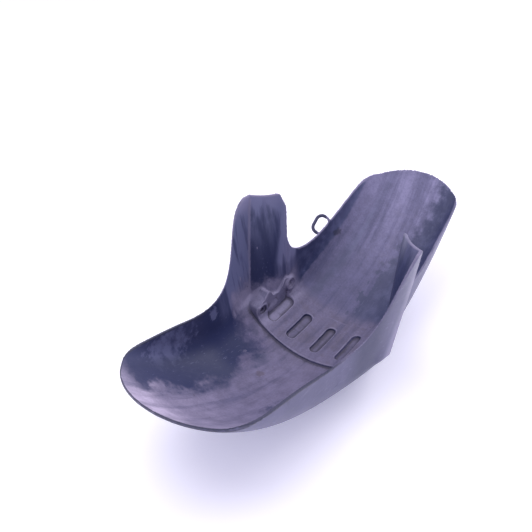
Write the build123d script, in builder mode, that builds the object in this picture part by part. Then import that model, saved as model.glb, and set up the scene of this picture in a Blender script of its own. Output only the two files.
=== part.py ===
import os
from math import cos, radians, sin, sqrt, tan

from build123d import *

# Motorcycle front mudguard, lying crown down with the hollow side up.
# X runs from the front tip to the rear end, Y across, Z up. Millimetres.

# Main sizes
overall_length = 524.0
half_length = overall_length / 2
wall = 3.0
wrap_angle = 104.66         # degrees of the wheel that the guard covers
crown_radius = half_length / sin(radians(wrap_angle / 2))   # outside of the crown, about the axle
axle_x = -23.0              # the crown is lowest below the axle
axle_z = crown_radius
rest_turn = 6.0             # degrees about the axle, brings the weight above the lowest point
block_top = 300.0           # the trough is a solid up to here before its rim is cut
past_end = 2.0              # the cavity runs this many walls past the block
joint_x = 52.0              # wide front trough ahead of here, narrow rear trough behind

# Front trough: (place along it as a share of the half length, half width, corner radius, flare)
front_bottom_radius = 130.0
front_sections = [
    (-1.085, 83.0, 40.0, 0.0),
    (-0.91, 84.0, 40.0, 0.0),
    (-0.725, 84.5, 37.0, 0.0),
    (-0.57, 84.5, 35.0, 0.0),
    (-0.42, 85.0, 34.0, 0.5),
    (-0.275, 88.0, 34.0, 4.0),
    (-0.122, 96.0, 37.0, 8.0),
    (0.038, 105.5, 43.0, 6.5),
]
front_end_half = 108.0      # at the joint
front_end_corner = 45.0
front_end_flare = 5.5

# Rear trough: (place along it as a share of the half length, half width, bottom and corner radius)
rear_start_half = 78.0      # at the joint
rear_start_corner = 22.0
rear_sections = [
    (0.443, 79.0, 122.0, 50.0),
    (0.63, 76.0, 112.0, 52.0),
    (0.794, 74.0, 98.0, 48.0),
    (0.931, 73.0, 91.0, 46.0),
    (1.053, 72.0, 85.0, 44.0),
]

# Rounded ends, seen from above
tip_length = 70.0
tip_half_width = 85.5
tail_length = 62.0
tail_half_width = 76.5
clear_half_width = 160.0    # well outside the ears

# Rim of the front trough seen from the side, up to the ear
rim_start = (-320.0, 136.0)
rim_points = [(-227.0, 101.0), (-146.0, 91.0), (-88.0, 84.5), (-50.0, 96.0), (-25.0, 131.0), (-5.0, 170.0)]

# Ear seen from the side, its top rising to the rear and cut off there at a slant
ear_top_z = 181.0
ear_front_x = joint_x - 43.0
ear_rear_x = joint_x - 3.0
ear_rise = 4.0
ear_slant_length = 7.5
ear_slant_height = 19.0
ear_front_round = 8.0
ear_corner_round = 3.0
ear_rear_round = 12.0

# Notch behind the ear, a quarter of an ellipse, and the rim of the rear trough
notch_x = joint_x + 40.0    # where the notch is lowest
notch_z = 95.5
notch_height = 28.0
notch_length = notch_x - ear_rear_x
rear_rim_points = [(137.0, 107.0), (205.0, 142.0)]
rear_rim_end = (310.0, 196.0)
rear_rim_end_rise = 0.6

# Hollow in each ear, where a fork leg stands behind it
leg_radius = 50.0
leg_x = joint_x + 18.0      # at the top of the ear
leg_lean = 0.18             # the hollow runs forward on its way down
leg_inner_y = 79.2

# Raised pad between the ears, seen from the side, with a bolt lug turned up at each end
pad_rise = 3.5
pad_front_x = joint_x - 66.5
pad_rear_x = joint_x + 13.0
pad_rear_round = 14.0
pad_ramp = 16.0             # the pad runs out over this length at its rear
pad_rear_step = 0.6         # what is left of its rise there
lug_front_z = 44.0
lug_front_round = 11.0
lug_ear_x = joint_x - 41.0  # where the lug reaches the ear
lug_top_z = 66.0
lug_face_y = 76.5
lug_foot_radius = 20.0

# Pockets in the pad
pocket_x = joint_x - 27.5
pocket_length = 49.0
pocket_width = 12.5
pocket_y = 37.0             # second and fourth pocket
outer_pocket_y = 68.0       # first and fifth pocket

# Bolt bosses on the lugs
bolt_hole = 6.6
boss_diameter = 19.0
boss_recess = 13.0
boss_recess_depth = 2.0
front_boss_x = joint_x - 55.2
front_boss_z = 39.0
front_boss_face_y = 75.0
rear_boss_x = joint_x - 0.5
rear_boss_z = 55.3
rear_boss_face_y = 71.0

# Hose eyelet outside one wall of the rear trough
eyelet_x = 134.0
eyelet_z = 107.5
eyelet_y = 82.5
eyelet_length = 30.0
eyelet_width = 22.0
eyelet_round = 10.0
eyelet_bar = 3.6
eyelet_slope = 40.0         # degrees, steeper than the rim
eyelet_tilt = 32.0          # degrees, up and away from the wall


def crown_z(x, inset):
    return axle_z - sqrt((crown_radius - inset) ** 2 - (x - axle_x) ** 2)


def trough_section(x, half, bottom, corner, flare, inset):
    # a bottom arc, two corner arcs, two straight sides and a flat top
    lean = radians(flare)
    low = crown_z(x, inset)
    high = block_top + past_end * inset
    big = bottom - inset
    small = corner - inset
    centre_y = half - inset - small * cos(lean)
    centre_z = low + big - sqrt((big - small) ** 2 - centre_y ** 2)
    grow = big / (big - small)
    join = (centre_y * grow, low + big + (centre_z - low - big) * grow)
    foot = (centre_y + small * cos(lean), centre_z - small * sin(lean))
    top = (foot[0] + (high - foot[1]) * tan(lean), high)
    with BuildSketch(Plane(origin=(x, 0, 0), x_dir=(0, 1, 0), z_dir=(1, 0, 0))) as section:
        with BuildLine():
            ThreePointArc((-join[0], join[1]), (0, low), join)
            RadiusArc(join, foot, -small)
            Line(foot, top)
            Line(top, (-top[0], top[1]))
            Line((-top[0], top[1]), (-foot[0], foot[1]))
            RadiusArc((-foot[0], foot[1]), (-join[0], join[1]), -small)
        make_face()
    return section.sketch


def front_trough(inset):
    with BuildPart() as trough:
        for share, half, corner, flare in front_sections:
            x = share * half_length - past_end * inset
            add(trough_section(x, half, front_bottom_radius, corner, flare, inset))
        end_x = joint_x - inset
        end_shape = (front_end_half, front_bottom_radius, front_end_corner, front_end_flare)
        add(trough_section(end_x, *end_shape, inset))
        loft()
    return trough.part


def rear_trough(inset):
    with BuildPart() as trough:
        start_x = joint_x - inset
        add(trough_section(start_x, rear_start_half, front_bottom_radius, rear_start_corner, 0.0, inset))
        for share, half, bottom, corner in rear_sections:
            x = share * half_length + past_end * inset
            add(trough_section(x, half, bottom, corner, 0.0, inset))
        loft()
    return trough.part


def leg_hollow(side, inset):
    # leaning round bar where the fork leg stands
    centre = (leg_x, side * (leg_inner_y + leg_radius), ear_top_z)
    with BuildPart() as bar:
        with BuildSketch(Plane(origin=centre, x_dir=(1, 0, -leg_lean), z_dir=(leg_lean, 0, 1))):
            Circle(leg_radius + inset)
        extrude(amount=1.5 * ear_top_z, both=True)
    return bar.part


def trough_block(inset):
    # the whole trough as one solid, with the fork-leg hollows taken out of its sides
    with BuildPart() as block:
        add(front_trough(inset))
        add(rear_trough(inset))
        for side in (-1, 1):
            add(leg_hollow(side, inset), mode=Mode.SUBTRACT)
    return block.part


def pad_hollow_section(x, inset):
    half = lug_face_y + inset
    corner = lug_foot_radius + inset
    return trough_section(x, half, front_bottom_radius, corner, 0.0, inset)


def pad_hollow(inset):
    # the space above the pad, between the lugs, and above the ramp behind it
    with BuildPart() as hollow:
        for x in (pad_front_x - inset, joint_x, pad_rear_x + inset):
            add(pad_hollow_section(x, inset))
        loft()
        add(pad_hollow_section(pad_rear_x - pad_ramp, inset))
        add(pad_hollow_section(pad_rear_x + pad_ramp, inset - 2 * (pad_rise - pad_rear_step)))
        loft(ruled=True)
        for side in (-1, 1):
            add(leg_hollow(side, inset), mode=Mode.SUBTRACT)
    return hollow.part


outside = trough_block(0.0)
cavity = trough_block(wall)

# What is kept below the rim, seen from the side
ear_corner = (ear_rear_x - ear_slant_length, ear_top_z + ear_rise)
ear_slant_foot = (ear_rear_x, ear_top_z + ear_rise - ear_slant_height)
with BuildPart() as rim_keep:
    with BuildSketch(Plane.XZ) as rim_side:
        with BuildLine():
            Spline(rim_start, *rim_points, (ear_front_x, ear_top_z))
            Polyline(
                (ear_front_x, ear_top_z),
                ear_corner,
                ear_slant_foot,
                (ear_rear_x, notch_z + notch_height),
            )
            EllipticalCenterArc(
                (notch_x, notch_z + notch_height),
                notch_length,
                notch_height,
                start_angle=180,
                arc_size=90,
            )
            Spline(
                (notch_x, notch_z),
                *rear_rim_points,
                rear_rim_end,
                tangents=((1, 0), (1, rear_rim_end_rise)),
            )
            Polyline(rear_rim_end, (rear_rim_end[0], -wall), (rim_start[0], -wall), rim_start)
        make_face()
        fillet(rim_side.vertices().sort_by_distance((ear_front_x, ear_top_z))[0], ear_front_round)
        fillet(rim_side.vertices().sort_by_distance(ear_corner)[0], ear_corner_round)
        fillet(rim_side.vertices().sort_by_distance(ear_slant_foot)[0], ear_rear_round)
    extrude(amount=clear_half_width, both=True)

# What is kept inside the rounded ends, seen from above
tip_x = tip_length - half_length
tail_x = half_length - tail_length
with BuildPart() as end_keep:
    with BuildSketch(Plane.XY.offset(-wall)):
        with BuildLine():
            EllipticalCenterArc((tip_x, 0), tip_length, tip_half_width, start_angle=90, arc_size=180)
            EllipticalCenterArc((tail_x, 0), tail_length, tail_half_width, start_angle=-90, arc_size=180)
            for side in (-1, 1):
                Polyline(
                    (tip_x, side * tip_half_width),
                    (tip_x, side * clear_half_width),
                    (tail_x, side * clear_half_width),
                    (tail_x, side * tail_half_width),
                )
        make_face()
    extrude(amount=block_top)

# Raised pad and its lugs, open at the pockets
with BuildPart() as pad:
    with BuildSketch(Plane.XZ) as pad_side:
        with BuildLine():
            Polyline(
                (pad_front_x, -wall),
                (pad_front_x, lug_front_z),
                (lug_ear_x, lug_top_z),
                (pad_rear_x, lug_top_z),
                (pad_rear_x, -wall),
                close=True,
            )
        make_face()
        fillet(pad_side.vertices().sort_by_distance((pad_front_x, lug_front_z))[0], lug_front_round)
        fillet(pad_side.vertices().sort_by_distance((pad_rear_x, lug_top_z))[0], pad_rear_round)
    extrude(amount=clear_half_width, both=True)
    add(cavity, mode=Mode.INTERSECT)
    add(pad_hollow(wall + pad_rise), mode=Mode.SUBTRACT)
    with BuildSketch():
        pocket_rows = [0, pocket_y, -pocket_y, outer_pocket_y, -outer_pocket_y]
        with Locations([(pocket_x, row) for row in pocket_rows]):
            SlotOverall(pocket_length, pocket_width)
    extrude(amount=lug_top_z, mode=Mode.SUBTRACT)

# Bolt bosses, cut to the outside of the trough
boss_places = [
    (front_boss_x, front_boss_z, front_boss_face_y),
    (rear_boss_x, rear_boss_z, rear_boss_face_y),
]
with BuildPart() as bosses:
    for x, z, face_y in boss_places:
        for side in (-1, 1):
            with BuildSketch(Plane(origin=(x, side * face_y, z), x_dir=(1, 0, 0), z_dir=(0, side, 0))):
                Circle(boss_diameter / 2)
            extrude(amount=clear_half_width - face_y)
    add(outside, mode=Mode.INTERSECT)

# Hose eyelet, kept out of the cavity
slope = radians(eyelet_slope)
tilt = radians(eyelet_tilt)
eyelet_plane = Plane(
    origin=(eyelet_x, eyelet_y, eyelet_z),
    x_dir=(cos(slope), 0, sin(slope)),
    z_dir=(-sin(slope) * cos(tilt), -sin(tilt), cos(slope) * cos(tilt)),
)
with BuildPart() as eyelet:
    with BuildSketch(eyelet_plane):
        RectangleRounded(eyelet_length, eyelet_width, eyelet_round)
        RectangleRounded(
            eyelet_length - 2 * eyelet_bar,
            eyelet_width - 2 * eyelet_bar,
            eyelet_round - eyelet_bar,
            mode=Mode.SUBTRACT,
        )
    extrude(amount=eyelet_bar / 2, both=True)
    chamfer(eyelet.faces().filter_by(eyelet_plane).edges(), eyelet_bar / 4)
    add(cavity, mode=Mode.SUBTRACT)

# The mudguard is one moulding
with BuildPart() as mudguard:
    add(outside)
    add(cavity, mode=Mode.SUBTRACT)
    add(rim_keep.part, mode=Mode.INTERSECT)
    add(end_keep.part, mode=Mode.INTERSECT)
    add(pad.part)
    add(bosses.part)
    add(eyelet.part)
    for x, z, face_y in boss_places:
        for side in (-1, 1):
            with BuildSketch(Plane(origin=(x, side * face_y, z), x_dir=(1, 0, 0), z_dir=(0, side, 0))):
                Circle(bolt_hole / 2)
            extrude(amount=clear_half_width - face_y, mode=Mode.SUBTRACT)
            with BuildSketch(Plane(origin=(x, side * face_y, z), x_dir=(1, 0, 0), z_dir=(0, side, 0))):
                Circle(boss_recess / 2)
            extrude(amount=boss_recess_depth, mode=Mode.SUBTRACT)

# Turned to the way it lies at rest, with its lowest point on the ground
turned = mudguard.part.rotate(Axis((axle_x, 0, axle_z), (0, 1, 0)), rest_turn)
turned_box = turned.bounding_box()
with BuildPart() as resting:
    with Locations((-turned_box.center().X, 0, -turned_box.min.Z)):
        add(turned)

resting.part.label = "mudguard"
os.makedirs("parts", exist_ok=True)
export_step(resting.part, "parts/mudguard.step")
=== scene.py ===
from types import SimpleNamespace
import bpy
import bmesh
import numpy as np
from mathutils import Matrix, Vector


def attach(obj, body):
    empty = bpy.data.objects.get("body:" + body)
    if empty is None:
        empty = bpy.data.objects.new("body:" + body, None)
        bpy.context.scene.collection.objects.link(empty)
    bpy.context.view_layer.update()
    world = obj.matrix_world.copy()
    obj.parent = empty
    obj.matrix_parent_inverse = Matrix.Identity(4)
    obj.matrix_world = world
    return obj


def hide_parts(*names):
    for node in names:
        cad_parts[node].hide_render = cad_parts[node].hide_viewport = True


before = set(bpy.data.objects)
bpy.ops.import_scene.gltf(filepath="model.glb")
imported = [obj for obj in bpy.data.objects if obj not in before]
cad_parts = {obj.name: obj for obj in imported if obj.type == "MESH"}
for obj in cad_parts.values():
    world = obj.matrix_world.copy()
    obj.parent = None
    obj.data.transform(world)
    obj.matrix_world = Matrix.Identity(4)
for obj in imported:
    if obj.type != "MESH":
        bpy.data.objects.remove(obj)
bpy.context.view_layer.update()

scene = bpy.context.scene
scene.view_settings.view_transform = "Standard"


# guard shell: the moulded solid with its edges softened as they leave a mould, in metres
shellLook = {
    "mergeGap": 1e-6,
    "grain": 0.0010,                    # size of the cells that the solid is rebuilt from
    "softenSteps": 3,                   # more steps give rounder edges
    "softenShare": 0.5,
    "triangles": 190000,
    "smallestPart": 100,                # loose bits with fewer points are dropped
    "legLean": 0.29,                    # the fork leg hollow runs back by this share of its height
    "legFoot": 0.055,                   # height that the lean is measured from
    "lugSide": (0.062, 0.069),          # how far out the lugs begin
    "lugDip": 0.015,                    # how far each lug sinks between its two bosses
    "lugDipFrom": (0.003, 0.014),
    "lugDipTo": (0.022, 0.034),
    "lugDipHeight": (0.040, 0.062, 0.115),      # nothing, most, nothing
    "lugFrontDip": 0.007,               # how far its front corner sinks
    "lugFrontFrom": (-0.035, -0.020),
    "lugFrontHeight": (0.046, 0.058, 0.090),
    "eyeletSwell": 0.0006,              # gives back what the softening takes off the eyelet's bar
    "eyeletAlong": (0.085, 0.095),
    "eyeletSide": (0.0800, 0.0825),
    "edgeSteps": 10,                    # reach of the edge wear
    "edgeShare": 0.6,
}
millimetres = 1000


def makeShell():
    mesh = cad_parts["mudguard"].data.copy()
    piece = bpy.data.objects.new("guard_shell", mesh)
    scene.collection.objects.link(piece)
    bm = bmesh.new()
    bm.from_mesh(mesh)
    bmesh.ops.remove_doubles(bm, verts=bm.verts, dist=shellLook["mergeGap"])
    bm.to_mesh(mesh)
    bm.free()
    rebuild = piece.modifiers.new("rebuild", "REMESH")
    rebuild.mode = "VOXEL"
    rebuild.voxel_size = shellLook["grain"]
    soften = piece.modifiers.new("soften", "SMOOTH")
    soften.factor = shellLook["softenShare"]
    soften.iterations = shellLook["softenSteps"]
    cells = len(evaluated(piece).polygons)      # each has four corners, so two triangles
    thin = piece.modifiers.new("thin", "DECIMATE")
    thin.ratio = min(1.0, shellLook["triangles"] / (2 * cells))
    done = evaluated(piece)
    piece.modifiers.clear()
    piece.data = done
    done.name = "guardShell"
    done.materials.clear()
    done.polygons.foreach_set("use_smooth", [True] * len(done.polygons))
    bpy.data.meshes.remove(mesh)
    dropBits(done)
    sinkLugs(done)
    swellEyelet(done)
    markEdges(done)
    return piece


def evaluated(piece):
    graph = bpy.context.evaluated_depsgraph_get()
    return bpy.data.meshes.new_from_object(piece.evaluated_get(graph))


def dropBits(mesh):
    # the rebuild can leave loose bits of a few faces
    bm = bmesh.new()
    bm.from_mesh(mesh)
    waiting = set(bm.verts)
    while waiting:
        part = [waiting.pop()]
        for point in part:
            for edge in point.link_edges:
                other = edge.other_vert(point)
                if other in waiting:
                    waiting.remove(other)
                    part.append(other)
        if len(part) < shellLook["smallestPart"]:
            bmesh.ops.delete(bm, geom=part, context="VERTS")
    bm.to_mesh(mesh)
    bm.free()


def readPoints(mesh, what="co"):
    flat = np.empty(len(mesh.vertices) * 3)
    mesh.vertices.foreach_get(what, flat)
    return flat.reshape(-1, 3)


def writePoints(mesh, points):
    mesh.vertices.foreach_set("co", points.ravel())
    mesh.update()


def step(values, low, high):
    share = np.clip((values - low) / (high - low), 0, 1)
    return share * share * (3 - 2 * share)


def sinkLugs(mesh):
    # slides down the hollow of the leg, so only the lug's top edge changes
    points = readPoints(mesh)
    x, y, z = points.T
    along = x - shellLook["legLean"] * (z - shellLook["legFoot"])
    dipStart = step(along, *shellLook["lugDipFrom"])
    inDip = dipStart * (1 - step(along, *shellLook["lugDipTo"]))
    ahead = step(along, *shellLook["lugFrontFrom"]) * (1 - dipStart)
    drop = shellLook["lugDip"] * inDip * np.interp(z, shellLook["lugDipHeight"], [0, 1, 0])
    drop += shellLook["lugFrontDip"] * ahead * np.interp(z, shellLook["lugFrontHeight"], [0, 1, 0])
    drop *= step(abs(y), *shellLook["lugSide"])
    points[:, 0] -= shellLook["legLean"] * drop
    points[:, 2] -= drop
    writePoints(mesh, points)


def swellEyelet(mesh):
    points = readPoints(mesh)
    x, y = points.T[:2]
    share = step(x, *shellLook["eyeletAlong"]) * step(y, *shellLook["eyeletSide"])
    points += readPoints(mesh, "normal") * (shellLook["eyeletSwell"] * share)[:, None]
    writePoints(mesh, points)


def markEdges(mesh):
    # how far each point stands out of its surroundings, in millimetres
    points = readPoints(mesh)
    count = len(points)
    ends = np.empty(len(mesh.edges) * 2, dtype=np.int32)
    mesh.edges.foreach_get("vertices", ends)
    one, two = ends.reshape(-1, 2).T
    around = np.bincount(one, minlength=count) + np.bincount(two, minlength=count)
    smooth = points.copy()
    for turn in range(shellLook["edgeSteps"]):
        for axis in range(3):
            total = np.bincount(one, smooth[two, axis], count)
            total += np.bincount(two, smooth[one, axis], count)
            smooth[:, axis] += shellLook["edgeShare"] * (total / around - smooth[:, axis])
    bulge = ((points - smooth) * readPoints(mesh, "normal")).sum(axis=1) * millimetres
    mark = mesh.attributes.new("edgeBulge", "FLOAT", "POINT")
    mark.data.foreach_set("value", bulge.astype(np.float32))
    print("edges marked", np.percentile(bulge, [1, 10, 50, 90, 99]).round(3).tolist())


# node helpers: a value is a number or a socket, and a new node goes where the sockets are
def addNode(tree, kind, inputs=None, **settings):
    node = tree.nodes.new(kind)
    for key, value in settings.items():
        setattr(node, key, value)
    for key, value in (inputs or {}).items():
        if isinstance(value, bpy.types.NodeSocket):
            tree.links.new(value, node.inputs[key])
        else:
            node.inputs[key].default_value = value
    return node


def treeOf(*values):
    return next(value.id_data for value in values if isinstance(value, bpy.types.NodeSocket))


def calc(operation, *values, clamp=False):
    inputs = dict(enumerate(values))
    node = addNode(treeOf(*values), "ShaderNodeMath", inputs, operation=operation, use_clamp=clamp)
    return node.outputs[0]


def plus(first, second):
    return calc("ADD", first, second)


def minus(first, second):
    return calc("SUBTRACT", first, second)


def times(first, *others):
    for other in others:
        first = calc("MULTIPLY", first, other)
    return first


def most(first, *others):
    for other in others:
        first = calc("MAXIMUM", first, other)
    return first


def linear(value, factor, base):
    return calc("MULTIPLY_ADD", value, factor, base)


def between(share, first, second):
    return linear(minus(second, first), share, first)


def rest(share):
    return minus(1.0, share)


def wander(value, noise, width):
    return plus(value, linear(noise, width, -width / 2))


def awayFrom(value, centre):
    return calc("ABSOLUTE", plus(value, -centre))


def fade(value, low, high, toLow=0.0, toHigh=1.0):
    # smooth step from toLow at low to toHigh at high
    inputs = {"Value": value, "From Min": low, "From Max": high, "To Min": toLow, "To Max": toHigh}
    node = addNode(treeOf(value), "ShaderNodeMapRange", inputs, interpolation_type="SMOOTHSTEP")
    return node.outputs["Result"]


def clouds(coords, scale, detail, rough, stretch=None, shift=(0, 0, 0), wobble=0.0):
    tree = treeOf(coords)
    if stretch:
        inputs = {"Vector": coords, "Scale": stretch, "Location": shift}
        coords = addNode(tree, "ShaderNodeMapping", inputs).outputs[0]
    inputs = {"Vector": coords, "Scale": scale, "Detail": detail, "Roughness": rough, "Distortion": wobble}
    return addNode(tree, "ShaderNodeTexNoise", inputs).outputs["Fac"]


def blend(share, first, second, mode="MIX"):
    tree = treeOf(share, first, second)
    inputs = {0: share, 6: first, 7: second}
    return addNode(tree, "ShaderNodeMix", inputs, data_type="RGBA", blend_type=mode).outputs[2]


# worn plastic: clean navy walls, dust where the trough faces up
plasticLook = {
    "clean": (0.022, 0.029, 0.090, 1),
    "scuff": (0.140, 0.150, 0.284, 1),
    "dust": (0.160, 0.143, 0.246, 1),
    "paleDustAndHighlight": (0.53, 0.46, 0.64, 1),
    "brownDust": (0.114, 0.100, 0.164, 1),
    "rearDust": (0.112, 0.107, 0.208, 1),
    "tailDust": (0.262, 0.246, 0.415, 1),
    "footDust": (0.215, 0.198, 0.315, 1),
    "outside": (0.116, 0.113, 0.228, 1),
    "outsidePale": (0.185, 0.176, 0.315, 1),
    "wearAndPaintedLight": (0.400, 0.370, 0.560, 1),
    "edge": (0.230, 0.210, 0.330, 1),
    "frontRim": (0.034, 0.036, 0.075, 1),
    "speckAndShade": (0.018, 0.017, 0.030, 1),
    "stain": (0.070, 0.046, 0.050, 1),
    "cleanGloss": 0.38,                 # roughness
    "dustGloss": 0.72,
    "outsideGloss": 0.34,
    "glossWander": 0.16,
    "shine": 0.45,
    "dullDrop": -0.33,                  # scrubbed matt in front of the far ear
    "dullCentre": -0.075,
    "dullReach": (0.022, 0.052, 1, 0),
    "dullSide": (0.030, 0.055),
    "reliefHairs": 0.6,
    "reliefStrength": 0.12,
    "reliefHeight": 0.0006,
}


def plasticMaterial():
    mat = bpy.data.materials.new("worn_dark_plastic")
    mat.use_nodes = True
    tree = mat.node_tree
    bsdf = tree.nodes["Principled BSDF"].inputs
    at = readPlace(tree)
    foot = dustAtFoot(at)
    dusty = dustCover(at, foot)
    insideColor = blend(dusty, wallColor(at), dustColor(at, foot))
    insideColor = lugShadeAndWedge(at, insideColor)
    color = blend(at.inside, outsideColor(at), insideColor)
    color = wearEdges(at, color)
    tree.links.new(color, bsdf["Base Color"])

    cleaner = plasticLook["cleanGloss"] - plasticLook["outsideGloss"]
    duller = plasticLook["dustGloss"] - plasticLook["cleanGloss"]
    gloss = linear(at.inside, cleaner, plasticLook["outsideGloss"])
    gloss = linear(dusty, duller, gloss)
    gloss = wander(gloss, at.middle, plasticLook["glossWander"])
    tree.links.new(gloss, bsdf["Roughness"])
    dull = fade(awayFrom(at.x, plasticLook["dullCentre"]), *plasticLook["dullReach"])
    dull = times(dull, fade(at.y, *plasticLook["dullSide"]))
    shine = linear(dull, plasticLook["dullDrop"], plasticLook["shine"])
    tree.links.new(shine, bsdf["Specular IOR Level"])
    height = linear(at.hairs, plasticLook["reliefHairs"], at.fine)
    strength, reach = plasticLook["reliefStrength"], plasticLook["reliefHeight"]
    relief = addNode(tree, "ShaderNodeBump", {"Height": height, "Strength": strength, "Distance": reach})
    tree.links.new(relief.outputs[0], bsdf["Normal"])
    return mat


# noises that the masks share, in cells per metre
noiseLook = {
    "broad": {"scale": 13, "detail": 5, "rough": 0.6},
    "middle": {"scale": 55, "detail": 5, "rough": 0.62},
    "fine": {"scale": 420, "detail": 3, "rough": 0.6},
    "ragged": {"scale": 150, "detail": 6, "rough": 0.7},
    "lengthwise": {"scale": 1, "detail": 6, "rough": 0.62, "stretch": (6, 85, 3), "wobble": 0.3},
    "upright": {"scale": 1, "detail": 4, "rough": 0.6, "stretch": (120, 90, 6)},
    "hairs": {
        "scale": 1, "detail": 3, "rough": 0.5, "stretch": (45, 620, 300), "shift": (3, 0, 0), "wobble": 0.4,
    },
}

# zones of the guard: here and below a range is from, to, then the shares there if not 0 and 1
# the far side is the eyelet's, and the front is the end with the wide round tip
zoneLook = {
    "sideTurn": 40,                     # how fast the two halves change over at the middle line
    "inwardShare": -1.2,
    "inside": (-0.15, 0.15),
    "wander": 0.06,                     # how unevenly the zones end
    "slopeWander": 0.10,
    "front": (-0.070, -0.034, 1, 0),
    "rearWander": 0.4,
    "rear": (0.056, 0.077),
    "earFront": (-0.085, -0.045),
    "earRear": (0.058, 0.068, 1, 0),
    "earFoot": (0.048, 0.072),
    "creaseLean": -0.249,               # the crease of the ear leans back
    "creaseShift": 0.0224,
    "panel": (0.0, 0.0025),             # the hollow panel starts at the crease
}


def readPlace(tree):
    at = SimpleNamespace()
    at.place = addNode(tree, "ShaderNodeTexCoord").outputs["Object"]
    at.x, at.y, at.z = addNode(tree, "ShaderNodeSeparateXYZ", {0: at.place}).outputs
    at.side = calc("ABSOLUTE", at.y)
    at.bulge = addNode(tree, "ShaderNodeAttribute", attribute_name="edgeBulge").outputs["Fac"]
    for name, recipe in noiseLook.items():
        setattr(at, name, clouds(at.place, **recipe))

    normal = addNode(tree, "ShaderNodeNewGeometry").outputs["Normal"]
    at.facingX, facingY, facingZ = addNode(tree, "ShaderNodeSeparateXYZ", {0: normal}).outputs
    turnOver = {"Value": times(at.y, zoneLook["sideTurn"]), "Min": -1.0, "Max": 1.0}
    half = addNode(tree, "ShaderNodeClamp", turnOver).outputs[0]
    inward = times(facingY, half, zoneLook["inwardShare"])
    at.inside = fade(plus(inward, facingZ), *zoneLook["inside"])
    at.slope = wander(facingZ, at.middle, zoneLook["slopeWander"])      # how far the wall faces up

    at.uneven = wander(at.x, at.middle, zoneLook["wander"])             # for borders that aren't straight
    at.front = fade(at.uneven, *zoneLook["front"])
    at.rear = fade(linear(minus(at.uneven, at.x), zoneLook["rearWander"], at.x), *zoneLook["rear"])
    at.ear = times(fade(at.x, *zoneLook["earFront"]), fade(at.x, *zoneLook["earRear"]))
    at.ear = times(at.ear, fade(at.z, *zoneLook["earFoot"]))
    at.crease = plus(linear(at.z, zoneLook["creaseLean"], at.x), zoneLook["creaseShift"])   # metres behind it
    at.panel = fade(at.crease, *zoneLook["panel"])
    return at


# one mark with a ragged edge
markLook = {
    "ragged": 2.4,
    "edge": (0.55, 1.05, 1, 0),
}


def spotMark(at, centre, radii):
    tree = treeOf(at.place)
    away = addNode(tree, "ShaderNodeVectorMath", {0: at.place, 1: centre}, operation="SUBTRACT").outputs[0]
    away = addNode(tree, "ShaderNodeVectorMath", {0: away, 1: radii}, operation="DIVIDE").outputs[0]
    away = addNode(tree, "ShaderNodeVectorMath", {0: away}, operation="LENGTH").outputs["Value"]
    return fade(wander(away, at.ragged, markLook["ragged"]), *markLook["edge"])


# dust lies where the inside faces up, and round the foot of each ear
dustLook = {
    "slope": (0.36, 0.60),              # 0 on an upright wall, 1 on a level floor
    "rearSlope": (0.37, 0.46),
    "footWander": -0.05,
    "footPanel": 0.008,                 # this much lower on the hollow panel
    "footHeight": (0.064, 0.084, 1, 0),
    "footSide": (0.055, 0.07),
    "footStreaks": 0.04,
    "footFront": (-0.060, -0.042),
    "footRear": (0.055, 0.072, 1, 0),
    "lugFront": (-0.034, -0.022),       # none low down ahead of the lug
    "lugHeight": (0.038, 0.050),
    "tip": (-0.250, -0.220, 0.65, 0.0),
    "tipGaps": (0.35, 0.6, 0.5, 1.0),
}


def dustAtFoot(at):
    height = linear(at.panel, dustLook["footPanel"], wander(at.z, at.middle, dustLook["footWander"]))
    foot = times(fade(height, *dustLook["footHeight"]), fade(at.side, *dustLook["footSide"]))
    along = wander(at.x, at.upright, dustLook["footStreaks"])
    reach = times(fade(along, *dustLook["footFront"]), fade(at.x, *dustLook["footRear"]))
    raised = most(fade(at.x, *dustLook["lugFront"]), fade(at.z, *dustLook["lugHeight"]))
    return times(foot, times(reach, raised))


def dustCover(at, foot):
    settled = most(fade(at.slope, *dustLook["slope"]), times(fade(at.slope, *dustLook["rearSlope"]), at.rear))
    dusty = times(most(settled, foot), rest(wipedOff(at, foot)))
    tip = times(fade(at.uneven, *dustLook["tip"]), fade(at.middle, *dustLook["tipGaps"]))
    return times(most(dusty, tip), at.inside)


# where the dust has been wiped off: the far side of the front, two bands behind the pad, the near wall
wipeLook = {
    "broadWander": 0.09,
    "middleWander": 0.05,
    "tipBend": (-0.236, -0.214, 0.003, -0.012),         # the wiped patch's border bends three times
    "frontBend": (-0.200, -0.180, 0.0, 0.012),
    "earBend": (-0.125, -0.100, 0.0, -0.012),
    "farSide": (0.026, 0.044),
    "frontShare": 0.97,
    "farBandSlant": -0.1,
    "farBandSide": 0.063,
    "farBandStreaks": 0.04,
    "farBand": (0.018, 0.030, 1, 0),
    "farBandShare": 0.5,
    "nearBandStreaks": 0.05,
    "nearBandWander": 0.08,
    "nearBandBend": (0.15, 0.22, -0.004, 0.020),
    "nearBandFrom": 0.0505,             # its border is crisp by the pad and soft at the tail
    "nearBandTo": 0.0555,
    "softensAt": (0.11, 0.21),
    "softensFrom": -0.010,
    "softensTo": 0.013,
    "nearBandShare": (-0.055, -0.02, 0.95, 0.72),
    "nearWall": (-0.075, -0.055, 0.85, 0.0),
    "nearWallAlong": (0.015, 0.045),
}


def wipedOff(at, foot):
    border = wander(at.y, at.broad, wipeLook["broadWander"])
    border = wander(border, at.middle, wipeLook["middleWander"])
    for bend in ("tipBend", "frontBend", "earBend"):
        border = plus(border, fade(at.x, *wipeLook[bend]))
    frontWiped = times(fade(border, *wipeLook["farSide"]), at.front, rest(foot), wipeLook["frontShare"])
    nearWall = times(fade(at.y, *wipeLook["nearWall"]), fade(at.x, *wipeLook["nearWallAlong"]))
    return most(frontWiped, times(rearBands(at), at.rear), nearWall)


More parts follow.
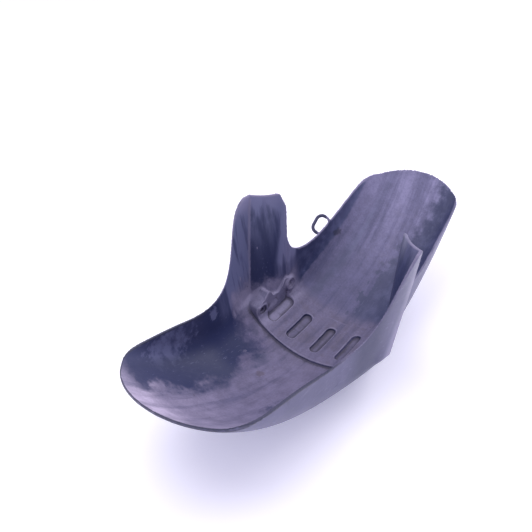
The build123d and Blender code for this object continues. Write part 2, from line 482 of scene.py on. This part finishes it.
def rearBands(at):
    farBand = minus(at.y, linear(at.x, wipeLook["farBandSlant"], wipeLook["farBandSide"]))
    farBand = linear(at.lengthwise, wipeLook["farBandStreaks"], calc("ABSOLUTE", farBand))
    farBand = times(fade(farBand, *wipeLook["farBand"]), wipeLook["farBandShare"])
    streaks = linear(at.lengthwise, wipeLook["nearBandStreaks"], times(at.middle, wipeLook["nearBandWander"]))
    nearBand = plus(plus(at.y, streaks), fade(at.x, *wipeLook["nearBandBend"]))
    softens = fade(at.x, *wipeLook["softensAt"])
    low = linear(softens, wipeLook["softensFrom"], wipeLook["nearBandFrom"])
    high = linear(softens, wipeLook["softensTo"], wipeLook["nearBandTo"])
    nearBand = times(fade(nearBand, low, high, 1, 0), fade(at.y, *wipeLook["nearBandShare"]))
    return most(farBand, nearBand)


# paler dust with a painted highlight at the front tip, browner on the pad, bluer behind it
tintLook = {
    "paleWander": 0.07,
    "paleSlant": -0.25,
    "paleFrom": (-0.258, -0.222, 1.0, 0.2),
    "paleTo": (-0.215, -0.150, 1, 0),
    "paleSide": (-0.025, 0.020, 0.78, 1.0),
    "padFront": (-0.06, -0.01),
    "padRear": (0.05, 0.1, 1, 0),
    "padSide": (0.060, 0.075, 1, 0),
    "brownPatches": (0.42, 0.66),
    "tail": (0.10, 0.27),
    "tailSide": (0.030, 0.060, 1.0, 0.72),
    "streaks": (0.42, 0.7, 0.0, 0.45),
    "speckScale": 105.0,
    "speckWander": 0.2,
    "speckSize": (0.16, 0.24, 1, 0),
    "speckPatches": (0.5, 0.62),
    "speckShare": 0.55,
    "grainMiddle": 0.75,
    "grainFine": 0.45,
    "grain": (0.40, 0.80),
    "grainDark": (0.80, 0.80, 0.82, 1),
    "grainPale": (1.18, 1.17, 1.16, 1),
    "stainPlace": ((-0.088, 0.022, 0.016), (0.008, 0.005, 0.008)),      # middle and half sizes
    "stainShare": 0.4,
    "smearPlace": ((-0.126, -0.034, 0.036), (0.055, 0.010, 0.020)),
    "smearGaps": (0.42, 0.60, 0.15, 0.75),
}


def dustColor(at, foot):
    # pale dust and a painted highlight at the front tip
    along = linear(at.y, tintLook["paleSlant"], wander(at.x, at.broad, tintLook["paleWander"]))
    pale = times(fade(along, *tintLook["paleFrom"]), fade(along, *tintLook["paleTo"]))
    pale = times(pale, fade(at.y, *tintLook["paleSide"]))
    brown = times(fade(at.x, *tintLook["padFront"]), fade(at.x, *tintLook["padRear"]))
    brown = times(brown, fade(at.middle, *tintLook["brownPatches"]), fade(at.side, *tintLook["padSide"]))
    tail = times(fade(at.x, *tintLook["tail"]), fade(at.y, *tintLook["tailSide"]))
    color = blend(brown, plasticLook["dust"], plasticLook["brownDust"])
    color = blend(at.rear, color, blend(tail, plasticLook["rearDust"], plasticLook["tailDust"]))
    color = blend(foot, color, plasticLook["footDust"])
    color = blend(pale, color, plasticLook["paleDustAndHighlight"])
    color = blend(fade(at.lengthwise, *tintLook["streaks"]), color, plasticLook["clean"])
    return dustGrain(at, color)


def dustGrain(at, color):
    inputs = {"Vector": at.place, "Scale": tintLook["speckScale"]}
    cells = addNode(treeOf(at.place), "ShaderNodeTexVoronoi", inputs, feature="F1").outputs["Distance"]
    specks = fade(linear(at.middle, tintLook["speckWander"], cells), *tintLook["speckSize"])
    specks = times(specks, fade(at.broad, *tintLook["speckPatches"]), rest(at.rear), tintLook["speckShare"])
    color = blend(specks, color, plasticLook["speckAndShade"])
    grain = plus(times(at.middle, tintLook["grainMiddle"]), times(at.fine, tintLook["grainFine"]))
    grain = blend(fade(grain, *tintLook["grain"]), tintLook["grainDark"], tintLook["grainPale"])
    color = blend(1.0, color, grain, "MULTIPLY")
    stain = times(spotMark(at, *tintLook["stainPlace"]), tintLook["stainShare"])
    color = blend(stain, color, plasticLook["stain"])
    smear = times(spotMark(at, *tintLook["smearPlace"]), fade(at.ragged, *tintLook["smearGaps"]))
    return blend(smear, color, plasticLook["clean"])


# haze on the walls: streaked on the ears, thin on the front, and hair scratches
hazeLook = {
    "panelHeight": (0.090, 0.180, 0.05, 0.68),
    "panelRear": (0.022, 0.034, 0.0, 1.25),     # behind the crease
    "panelFoot": (0.075, 0.100, 0.35, 1.0),
    "strip": 1.05,                      # the ear's strip in front of the crease
    "earStreaks": (0.36, 0.64, 0.36, 1.45),
    "earTop": (0.150, 0.180, 0.0, 0.65),
    "earSide": (-0.05, 0.05, 0.4, 1.05),
    "patchPlace": ((-0.170, 0.080, 0.088), (0.050, 0.020, 0.028)),
    "patchGaps": (0.38, 0.60, 0.15, 0.75),
    "frontAlong": (-0.215, -0.170, 0.32, 0.05),
    "frontTip": (-0.252, -0.226, 1.0, 0.0),
    "frontSlope": (0.45, 0.65, 1.0, 0.35),
    "rearPatches": (0.40, 0.68, 0.06, 0.36),
    "rearAlong": (0.10, 0.19, 0.0, 0.45),
    "rearSide": (0.0, 0.05),
    "hairs": (0.62, 0.74),
    "hairShare": 0.6,
    "blotchPlace": ((-0.090, 0.086, 0.080), (0.009, 0.020, 0.011)),
    "blotchShare": 0.8,
    "wornTop": (0.150, 0.178, 0.0, 0.8),
    "wornPanel": -0.7,                  # less on the hollow panel
    "wornRear": (0.026, 0.036, 0.0, 0.35),
}


def wallColor(at):
    haze = between(at.ear, frontHaze(at), earHaze(at))
    haze = between(at.rear, haze, rearHaze(at))
    haze = most(haze, times(fade(at.hairs, *hazeLook["hairs"]), hazeLook["hairShare"]))
    blotch = times(spotMark(at, *hazeLook["blotchPlace"]), hazeLook["blotchShare"])
    haze = calc("MAXIMUM", haze, blotch, clamp=True)
    worn = times(fade(at.z, *hazeLook["wornTop"]), linear(at.panel, hazeLook["wornPanel"], 1.0))
    worn = times(most(worn, fade(at.crease, *hazeLook["wornRear"])), at.ear)
    hazeColor = blend(worn, plasticLook["scuff"], plasticLook["tailDust"])
    return blend(haze, plasticLook["clean"], hazeColor)


def earHaze(at):
    panel = most(fade(at.z, *hazeLook["panelHeight"]), fade(at.crease, *hazeLook["panelRear"]))
    panel = times(panel, fade(at.z, *hazeLook["panelFoot"]))
    haze = between(at.panel, hazeLook["strip"], panel)
    haze = times(haze, fade(at.upright, *hazeLook["earStreaks"]))
    haze = plus(haze, fade(at.z, *hazeLook["earTop"]))
    return times(haze, fade(at.y, *hazeLook["earSide"]))


def frontHaze(at):
    patch = times(spotMark(at, *hazeLook["patchPlace"]), fade(at.middle, *hazeLook["patchGaps"]))
    haze = most(fade(at.x, *hazeLook["frontAlong"]), patch, fade(at.uneven, *hazeLook["frontTip"]))
    return times(haze, fade(at.slope, *hazeLook["frontSlope"]))


def rearHaze(at):
    farSide = times(fade(at.x, *hazeLook["rearAlong"]), fade(at.y, *hazeLook["rearSide"]))
    return plus(fade(at.middle, *hazeLook["rearPatches"]), farSide)


# painted shade on the forward-facing front of each lug, and one dark wedge on the far rear wall
darkLook = {
    "lugFacing": (-0.45, -0.25, 1, 0),
    "lugSide": (0.062, 0.068),
    "lugCentre": -0.010,
    "lugReach": (0.016, 0.024, 0.34, 0.0),
    "wedgePlace": ((0.151, 0.070, 0.074), (0.010, 0.007, 0.005)),
    "wedgeShare": 0.55,
}


def lugShadeAndWedge(at, color):
    # painted shade: the lug's faces that point forward get the clean dark colour
    lug = times(fade(at.facingX, *darkLook["lugFacing"]), fade(at.side, *darkLook["lugSide"]))
    lug = times(lug, fade(awayFrom(at.x, darkLook["lugCentre"]), *darkLook["lugReach"]))
    color = blend(lug, color, plasticLook["clean"])
    wedge = times(spotMark(at, *darkLook["wedgePlace"]), darkLook["wedgeShare"])
    return blend(wedge, color, plasticLook["speckAndShade"])


# outside: paler to the tail, painted shade in front of the leg hollow, and a painted highlight along the leg
# hollow's front edge
outsideLook = {
    "tail": (-0.02, 0.16, 0.0, 0.35),
    "hairs": (0.58, 0.72),
    "hairShare": 0.7,
    "darkCentre": -0.045,
    "darkReach": (0.006, 0.036, 0.66, 0.0),
    "creaseFrom": (-0.013, 0.000, 0.0, 0.5),
    "creaseTo": (0.002, 0.008, 1, 0),
    "creaseSide": (0.088, 0.096),
    "creaseTop": (0.140, 0.165, 1.0, 0.35),
    "patches": (0.44, 0.62, 0.0, 0.24),
}


def outsideColor(at):
    color = blend(fade(at.x, *outsideLook["tail"]), plasticLook["outside"], plasticLook["outsidePale"])
    hairs = times(fade(at.hairs, *outsideLook["hairs"]), outsideLook["hairShare"])
    color = blend(hairs, color, plasticLook["outsidePale"])
    # painted shade on the outer wall in front of the leg hollow
    dark = fade(awayFrom(at.x, outsideLook["darkCentre"]), *outsideLook["darkReach"])
    color = blend(dark, color, plasticLook["clean"])
    # painted highlight along the front edge of the leg hollow, where the outer wall turns away
    crease = times(fade(at.crease, *outsideLook["creaseFrom"]), fade(at.crease, *outsideLook["creaseTo"]))
    crease = times(crease, fade(at.side, *outsideLook["creaseSide"]), fade(at.z, *outsideLook["creaseTop"]))
    color = blend(crease, color, plasticLook["wearAndPaintedLight"])
    return blend(fade(at.broad, *outsideLook["patches"]), color, plasticLook["clean"])


# rubbed edges with a painted highlight on them, painted shade on the front rim, dust in the high corners and
# painted shade in the low ones
edgeLook = {
    "wearAndPaintedLight": (0.16, 0.45),             # millimetres that the edge stands out
    "gaps": (0.3, 0.6, 0.45, 0.85),
    "side": (-0.05, 0.05, 0.75, 1.0),
    "front": (-0.10, -0.05, 1, 0),
    "frontRimShade": (0.12, 0.34, 0.0, 0.9),
    "eyeletAlong": (0.085, 0.095),
    "eyeletSide": (0.0795, 0.082),
    "corner": (-0.28, -0.07, 0.6, 0.0),         # millimetres that it lies back
    "highCorner": (0.038, 0.048),       # dust above this, painted shade below it
    "cornerShadeEnd": (0.040, 0.050, 1, 0),
}


def wearEdges(at, color):
    # rubbed edges, partly wear and partly a painted highlight
    wearAndPaintedLight = times(fade(at.bulge, *edgeLook["wearAndPaintedLight"]), fade(at.middle, *edgeLook["gaps"]))
    wearAndPaintedLight = times(wearAndPaintedLight, fade(at.y, *edgeLook["side"]))
    # painted shade: at the front the edges get a dark colour
    atFront = fade(at.x, *edgeLook["front"])
    wearAndPaintedLight = most(wearAndPaintedLight, times(atFront, fade(at.bulge, *edgeLook["frontRimShade"])))
    edgeColor = blend(atFront, plasticLook["edge"], plasticLook["frontRim"])
    eyelet = times(fade(at.x, *edgeLook["eyeletAlong"]), fade(at.y, *edgeLook["eyeletSide"]))
    edgeColor = blend(eyelet, edgeColor, plasticLook["frontRim"])
    color = blend(wearAndPaintedLight, color, edgeColor)
    high = times(fade(at.z, *edgeLook["highCorner"]), at.inside)
    # corners that lie back: dust high up, painted shade low down
    corner = times(fade(at.bulge, *edgeLook["corner"]), most(high, fade(at.x, *edgeLook["cornerShadeEnd"])))
    corner = times(corner, at.inside)
    return blend(corner, color, blend(high, plasticLook["speckAndShade"], plasticLook["edge"]))


shell = makeShell()
shell.data.materials.append(plasticMaterial())
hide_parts("mudguard")
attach(shell, "root")
print("shell made", len(shell.data.polygons))


# pale floor and soft light
stageLook = {
    "floorSize": 8.0,
    "floorColor": (0.95, 0.93, 0.95, 1),
    "floorRough": 0.9,
    "floorGlow": 0.28,                  # what the camera and reflections see on top of the lit floor
    "glowColor": (0.66, 0.67, 0.98, 1),
    "skyBright": (1.0, 0.98, 1.08, 1),
    "skyDim": (0.60, 0.59, 0.70, 1),
    "skySeen": (1, 0.99, 1, 1),         # plain white behind the floor's end
    "skyFrom": (0.74, 0.18, 0.64),
    "skySpread": (-0.5, 0.8),
    "backLamp": {"place": (1.1, -0.45, 1.2), "aim": (-0.1, 0, 0.06), "size": 0.9, "power": 5},
    "topLamp": {"place": (-0.3, 0.25, 1.4), "aim": (0, 0, 0.05), "size": 1.0, "power": 7},
}


def makeFloor():
    half = stageLook["floorSize"] / 2
    mesh = bpy.data.meshes.new("floorSheet")
    corners = [(-half, -half, 0), (half, -half, 0), (half, half, 0), (-half, half, 0)]
    mesh.from_pydata(corners, [], [(0, 1, 2, 3)])
    floor = bpy.data.objects.new("floor_sheet", mesh)
    scene.collection.objects.link(floor)
    mat = bpy.data.materials.new("floor_white")
    mat.use_nodes = True
    tree = mat.node_tree
    bsdf = tree.nodes["Principled BSDF"].inputs
    bsdf["Base Color"].default_value = stageLook["floorColor"]
    bsdf["Roughness"].default_value = stageLook["floorRough"]
    bsdf["Emission Color"].default_value = stageLook["glowColor"]
    rays = addNode(tree, "ShaderNodeLightPath").outputs
    seen = most(rays["Is Camera Ray"], rays["Is Glossy Ray"], rays["Is Transmission Ray"])
    tree.links.new(times(seen, stageLook["floorGlow"]), bsdf["Emission Strength"])
    mesh.materials.append(mat)


def makeSky():
    world = bpy.data.worlds.new("paleRoom")
    scene.world = world
    world.use_nodes = True
    tree = world.node_tree
    ray = addNode(tree, "ShaderNodeTexCoord").outputs["Generated"]
    aim = Vector(stageLook["skyFrom"]).normalized()
    toward = addNode(tree, "ShaderNodeVectorMath", {0: ray, 1: aim}, operation="DOT_PRODUCT").outputs["Value"]
    lit = fade(toward, *stageLook["skySpread"])
    sky = blend(lit, stageLook["skyDim"], stageLook["skyBright"])
    seen = addNode(tree, "ShaderNodeLightPath").outputs["Is Camera Ray"]
    tree.links.new(blend(seen, sky, stageLook["skySeen"]), tree.nodes["Background"].inputs["Color"])


def makeLamp(name):
    look = stageLook[name]
    lamp = bpy.data.lights.new(name, "AREA")
    lamp.shape = "DISK"
    lamp.size = look["size"]
    lamp.energy = look["power"]
    obj = bpy.data.objects.new(name, lamp)
    scene.collection.objects.link(obj)
    obj.location = look["place"]
    obj.rotation_euler = (Vector(look["aim"]) - Vector(look["place"])).to_track_quat("-Z", "Y").to_euler()


makeFloor()
makeSky()
makeLamp("backLamp")
makeLamp("topLamp")
print("stage lit")


# camera at the photograph's place
cameraLook = {
    "place": (-0.46707, -0.33242, 0.52854),
    "right": (0.62257, -0.780, -0.06543),
    "ahead": (0.61904, 0.542, -0.56782),
    "lens": 40.82,
    "sensor": 36,
    "nearest": 0.01,
}


def makeCamera():
    cam = bpy.data.cameras.new("photoCamera")
    cam.sensor_width = cameraLook["sensor"]
    cam.lens = cameraLook["lens"]
    cam.clip_start = cameraLook["nearest"]
    obj = bpy.data.objects.new("photoCamera", cam)
    scene.collection.objects.link(obj)
    right = Vector(cameraLook["right"]).normalized()
    ahead = Vector(cameraLook["ahead"]).normalized()
    up = right.cross(ahead).normalized()
    turn = Matrix((right, up, -ahead)).transposed()
    obj.matrix_world = Matrix.Translation(cameraLook["place"]) @ turn.to_4x4()
    scene.camera = obj


makeCamera()
print("camera set")
